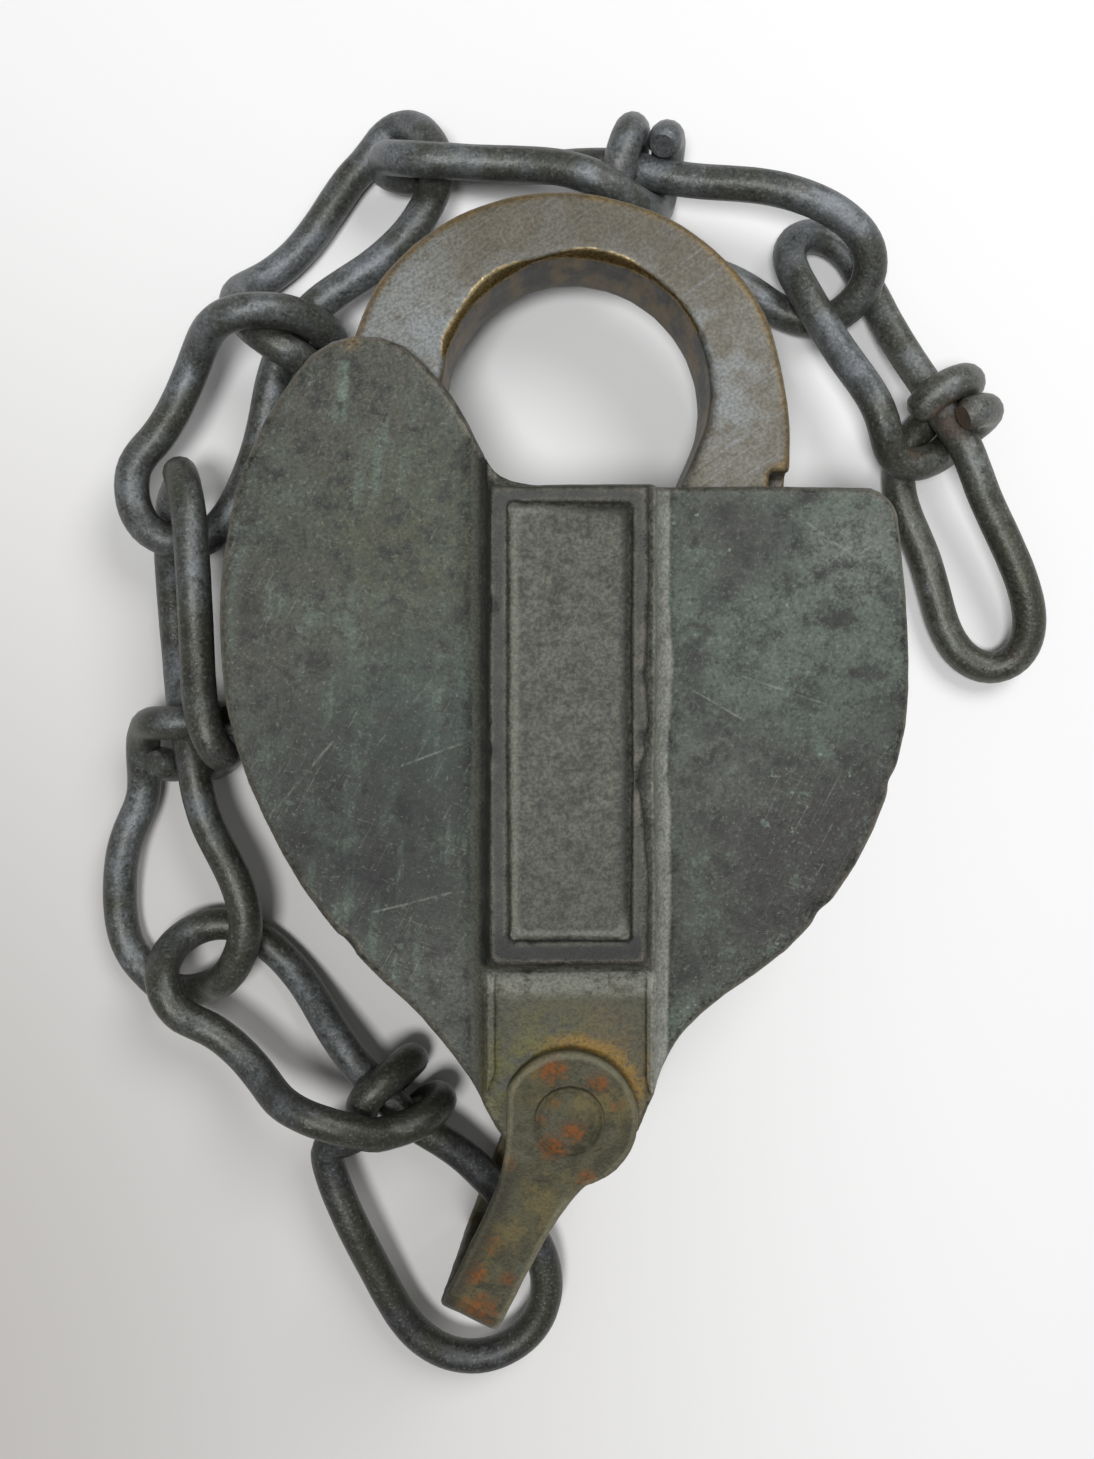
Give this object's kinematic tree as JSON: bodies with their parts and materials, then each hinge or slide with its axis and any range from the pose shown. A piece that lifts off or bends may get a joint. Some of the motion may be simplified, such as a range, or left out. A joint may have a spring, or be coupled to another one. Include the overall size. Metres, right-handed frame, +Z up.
{
  "type": "switch padlock",
  "caption": "Heart-shaped cast brass switch padlock with its bow turned on a pin, a drop over the keyhole, a riveted clevis and a captive chain of knotted wire links.",
  "frame": {"origin": "on the surface that the lock lies on, under the middle of the spine, on the outer face of the drop cover", "axes": "+Z up from the keyhole side to the panel side, +Y towards the shackle, +X to the square shoulder"},
  "size_m": [0.1086, 0.1451, 0.0278],
  "materials": {
    "patinated_brass": "dark grey-green patina with green corrosion flecks and dust in the hollows",
    "worn_brass": "grey-brown tarnish, rubbed to golden brass along the rims",
    "inner_steel": "plain machined steel",
    "rusted_steel": "olive-grey steel with orange rust spots",
    "zinc_wire": "dull zinc coat with a pale bloom and brown rust marks"
  },
  "bodies": {
    "lock_body": {"case": "patinated_brass", "cover_plate": "patinated_brass", "cover_pin_1": "patinated_brass", "cover_pin_2": "patinated_brass", "cover_pin_3": "patinated_brass", "cover_pin_4": "patinated_brass", "cover_pin_5": "patinated_brass", "shackle_pin": "worn_brass", "bolt_spring": "inner_steel", "lever_spring_1": "inner_steel", "lever_spring_2": "inner_steel", "lever_post": "inner_steel", "key_post": "inner_steel", "drop_cover_rivet": "patinated_brass", "clevis_rivet": "rusted_steel"},
    "bow": {"shackle": "worn_brass"},
    "bolt": {"locking_bolt": "inner_steel"},
    "first_lever": {"lever_1": "inner_steel"},
    "second_lever": {"lever_2": "inner_steel"},
    "drop": {"drop_cover": "patinated_brass"},
    "clevis": {"chain_clevis": "rusted_steel"},
    "link_1": {"chain_link_1": "zinc_wire"},
    "link_2": {"chain_link_2": "zinc_wire"},
    "link_3": {"chain_link_3": "zinc_wire"},
    "link_4": {"chain_link_4": "zinc_wire"},
    "link_5": {"chain_link_5": "zinc_wire"}
  },
  "joints": [
    {"name": "shackle_swing", "type": "hinge", "parent": "lock_body", "child": "bow", "pos_m": [-0.0215, 0.031, 0.0135], "axis": [0, 0, 1], "range_deg": [0, 92]},
    {"name": "bolt_slide", "type": "slide", "parent": "lock_body", "child": "bolt", "axis": [1, 0, 0], "range_m": [0, 0.005], "deforming": ["bolt_spring"]},
    {"name": "lever_1_lift", "type": "hinge", "parent": "lock_body", "child": "first_lever", "pos_m": [-0.0215, 0.004, 0.0132], "axis": [0, 0, 1], "range_deg": [0, 3], "deforming": ["lever_spring_1"]},
    {"name": "lever_2_lift", "type": "hinge", "parent": "lock_body", "child": "second_lever", "pos_m": [-0.0215, 0.004, 0.0151], "axis": [0, 0, 1], "range_deg": [0, 3], "deforming": ["lever_spring_2"]},
    {"name": "drop_cover_swing", "type": "hinge", "parent": "lock_body", "child": "drop", "pos_m": [0, 0.012, 0.001], "axis": [0, 0, 1], "range_deg": [-110, 110]},
    {"name": "clevis_swing", "type": "hinge", "parent": "lock_body", "child": "clevis", "pos_m": [-0.0002, -0.0398, 0.013], "axis": [0, 0, 1], "range_deg": [0, 4]},
    {"name": "link_1_swing", "type": "hinge", "parent": "clevis", "child": "link_1", "pos_m": [-0.0065, -0.062, 0.005], "axis": [0, 0, 1], "range_deg": [0, 4]},
    {"name": "link_2_swing", "type": "hinge", "parent": "link_1", "child": "link_2", "pos_m": [-0.041, -0.026, 0.005], "axis": [0, 0, 1], "range_deg": [0, 15]},
    {"name": "link_3_swing", "type": "hinge", "parent": "link_2", "child": "link_3", "pos_m": [-0.0424, 0.0265, 0.006], "axis": [0, 0, 1], "range_deg": [0, 92]},
    {"name": "link_4_swing", "type": "hinge", "parent": "link_3", "child": "link_4", "pos_m": [-0.0174, 0.063, 0.006], "axis": [0, 0, 1], "range_deg": [0, 18]},
    {"name": "link_5_swing", "type": "hinge", "parent": "link_4", "child": "link_5", "pos_m": [0.032, 0.049, 0.006], "axis": [0, 0, 1], "range_deg": [-8, 12]}
  ],
  "couplings": [
    {"joint": "link_3_swing", "follows": "shackle_swing", "ratio": 1}
  ]
}
